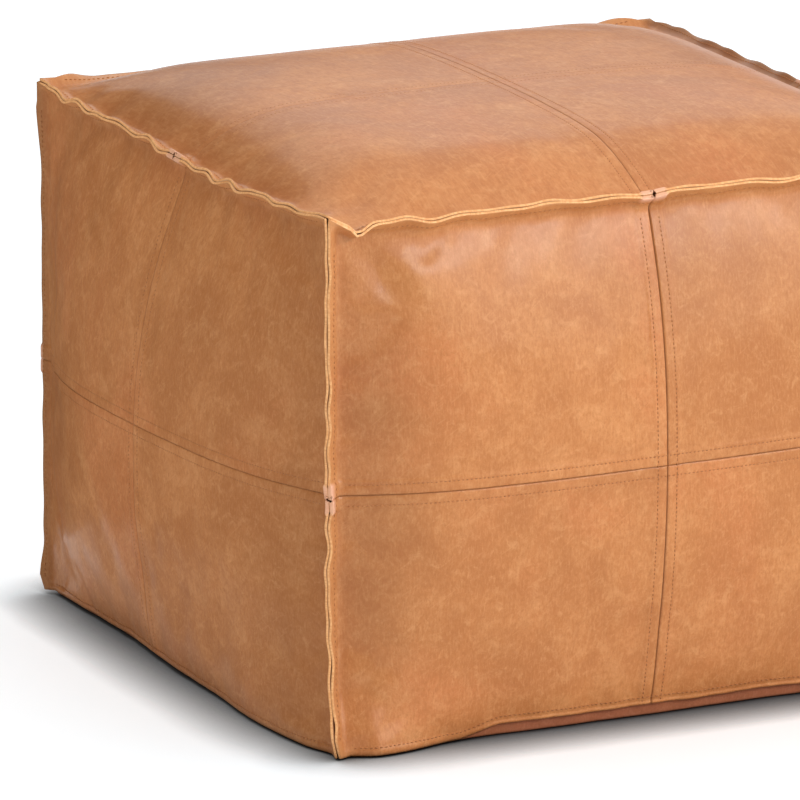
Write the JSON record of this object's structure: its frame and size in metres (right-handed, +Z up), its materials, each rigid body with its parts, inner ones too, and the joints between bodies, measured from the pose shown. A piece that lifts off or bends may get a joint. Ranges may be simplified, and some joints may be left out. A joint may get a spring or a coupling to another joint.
{
  "type": "square leather pouf",
  "caption": "Square stuffed floor pouf with patchwork leather faces, turned-out raw-edged seams, a leather base border and a zipped canvas underside.",
  "frame": {"origin": "on the floor at the middle of the base, under the middle of the pouf", "axes": "+Z up; -Y is the front; the zip of the base runs along X and is closed at its +X end"},
  "size_m": [0.521, 0.521, 0.386],
  "materials": {
    "cover_leather": "satin",
    "border_leather": "satin",
    "base_canvas": "matte",
    "zip_tape": "matte",
    "zip_coil": "satin",
    "zip_metal": "satin",
    "liner_fabric": "matte",
    "fill": "matte"
  },
  "bodies": {
    "cover": {"top_panel_front_left": "cover_leather", "top_panel_front_right": "cover_leather", "top_panel_back_left": "cover_leather", "top_panel_back_right": "cover_leather", "front_panel_lower_left": "cover_leather", "front_panel_lower_right": "cover_leather", "front_panel_upper_left": "cover_leather", "front_panel_upper_right": "cover_leather", "right_panel_lower_left": "cover_leather", "right_panel_lower_right": "cover_leather", "right_panel_upper_left": "cover_leather", "right_panel_upper_right": "cover_leather", "back_panel_lower_left": "cover_leather", "back_panel_lower_right": "cover_leather", "back_panel_upper_left": "cover_leather", "back_panel_upper_right": "cover_leather", "left_panel_lower_left": "cover_leather", "left_panel_lower_right": "cover_leather", "left_panel_upper_left": "cover_leather", "left_panel_upper_right": "cover_leather", "base_border_front": "border_leather", "base_border_right": "border_leather", "base_border_back": "border_leather", "base_border_left": "border_leather", "base_canvas_front": "base_canvas", "base_canvas_back": "base_canvas", "zip_tape_front": "zip_tape", "zip_tape_back": "zip_tape", "zip_coil_front": "zip_coil", "zip_coil_back": "zip_coil", "zip_top_stop_front": "zip_metal", "zip_top_stop_back": "zip_metal", "zip_bottom_stop": "zip_metal", "inner_liner": "liner_fabric", "fill_core": "fill"},
    "zip_slider": {"zip_slider": "zip_metal"},
    "zip_pull": {"zip_pull": "zip_metal"}
  },
  "joints": [
    {"name": "zip_slide", "type": "slide", "parent": "cover", "child": "zip_slider", "axis": [-1, 0, 0], "range_m": [0, 0.289]},
    {"name": "zip_pull_hinge", "type": "hinge", "parent": "zip_slider", "child": "zip_pull", "pos_m": [0.1445, 0, 0.0014], "axis": [0, -1, 0], "range_deg": [0, 175]}
  ]
}
